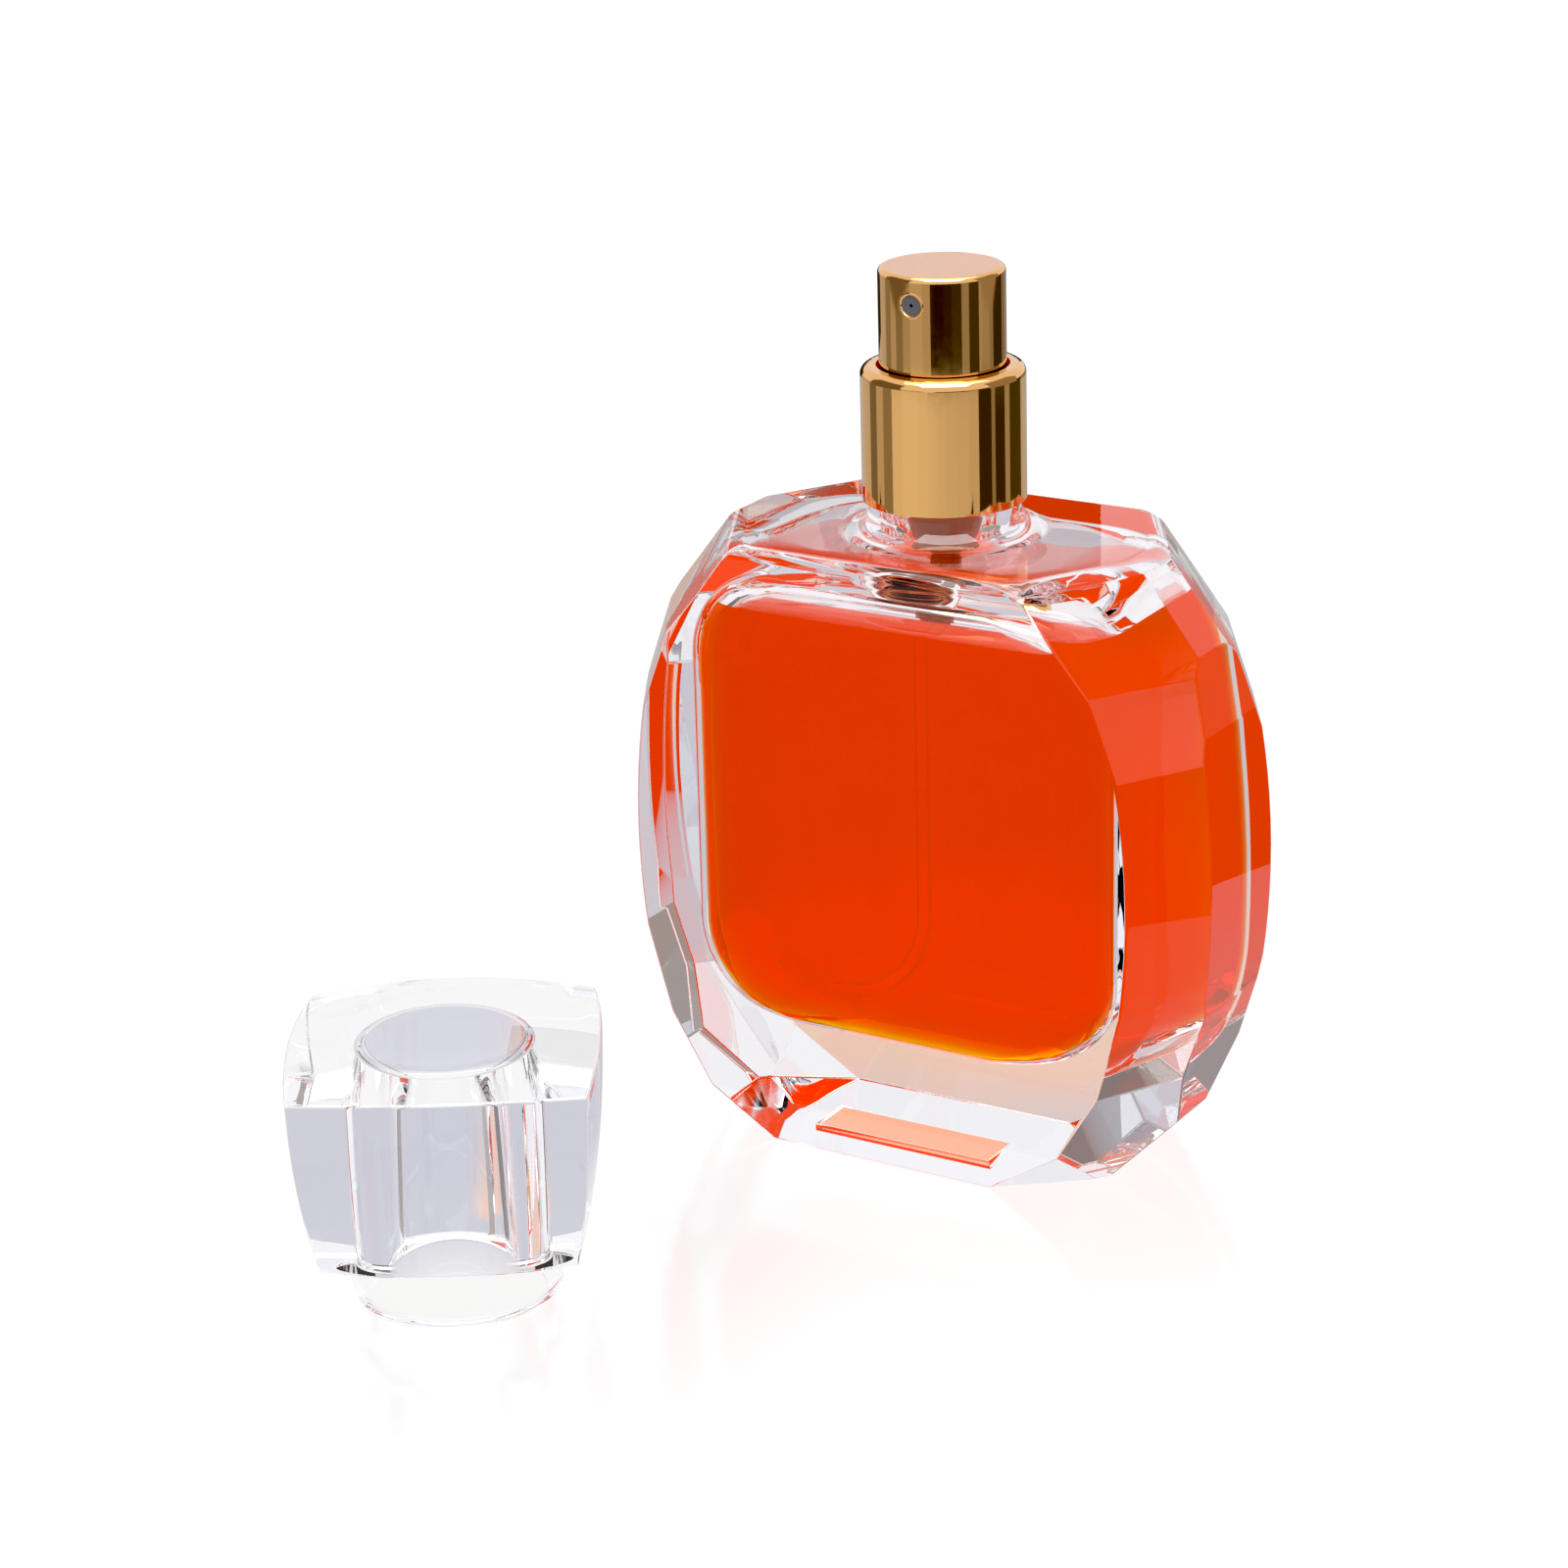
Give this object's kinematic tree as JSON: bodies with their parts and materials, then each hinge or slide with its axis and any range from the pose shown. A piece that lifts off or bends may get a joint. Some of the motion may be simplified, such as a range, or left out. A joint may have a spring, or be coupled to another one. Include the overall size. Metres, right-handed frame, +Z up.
{
  "type": "perfume bottle",
  "caption": "Cushion-cut clear glass perfume bottle with orange-red fragrance, gold crimped spray pump and a separate clear acrylic cap standing beside it.",
  "frame": {"origin": "on the table plane, under the pump axis", "axes": "+Z up along the pump axis, -Y out of the front face, +X to the right side of the bottle as its front is faced"},
  "size_m": [0.0795, 0.0981, 0.0963],
  "materials": {
    "glass": "clear, polished facets",
    "fragrance": "clear orange-red liquid",
    "gold": "anodised gold, mirror sides",
    "white_plastic": "moulded",
    "grey_plastic": "moulded",
    "seal_rubber": "matte",
    "steel": "drawn wire and ground ball",
    "tube_plastic": "translucent",
    "acrylic": "clear, polished",
    "label": "blank, matte"
  },
  "bodies": {
    "bottle": {"glass_bottle": "glass", "fragrance_liquid": "fragrance", "base_label": "label", "neck_gasket": "seal_rubber", "crimp_ferrule": "gold", "collar_cover": "gold", "pump_housing": "white_plastic", "stem_guide": "white_plastic", "stem_seal": "seal_rubber", "spring_seat": "white_plastic", "return_spring": "steel", "dip_tube": "tube_plastic"},
    "plunger": {"stem": "white_plastic", "piston": "white_plastic"},
    "actuator": {"actuator_core": "white_plastic", "actuator_shell": "gold", "nozzle_insert": "grey_plastic"},
    "ball": {"check_ball": "steel"},
    "cap": {"cap_block": "acrylic", "cap_sleeve": "acrylic"}
  },
  "joints": [
    {"name": "pump_stroke", "type": "slide", "parent": "bottle", "child": "plunger", "axis": [0, 0, -1], "range_m": [0, 0.0042], "stiffness_N_per_m": 800, "springref_m": -0.004, "deforming": ["return_spring"]},
    {"name": "actuator_turn", "type": "hinge", "parent": "plunger", "child": "actuator", "pos_m": [0, 0, 0.0875], "axis": [0, 0, 1], "continuous": true},
    {"name": "ball_lift", "type": "slide", "parent": "bottle", "child": "ball", "axis": [0, 0, 1], "range_m": [0, 0.0004]},
    {"name": "cap_lift", "type": "slide", "parent": "bottle", "child": "cap", "axis": [0, 0, 1], "range_m": [0, 0.12]}
  ]
}
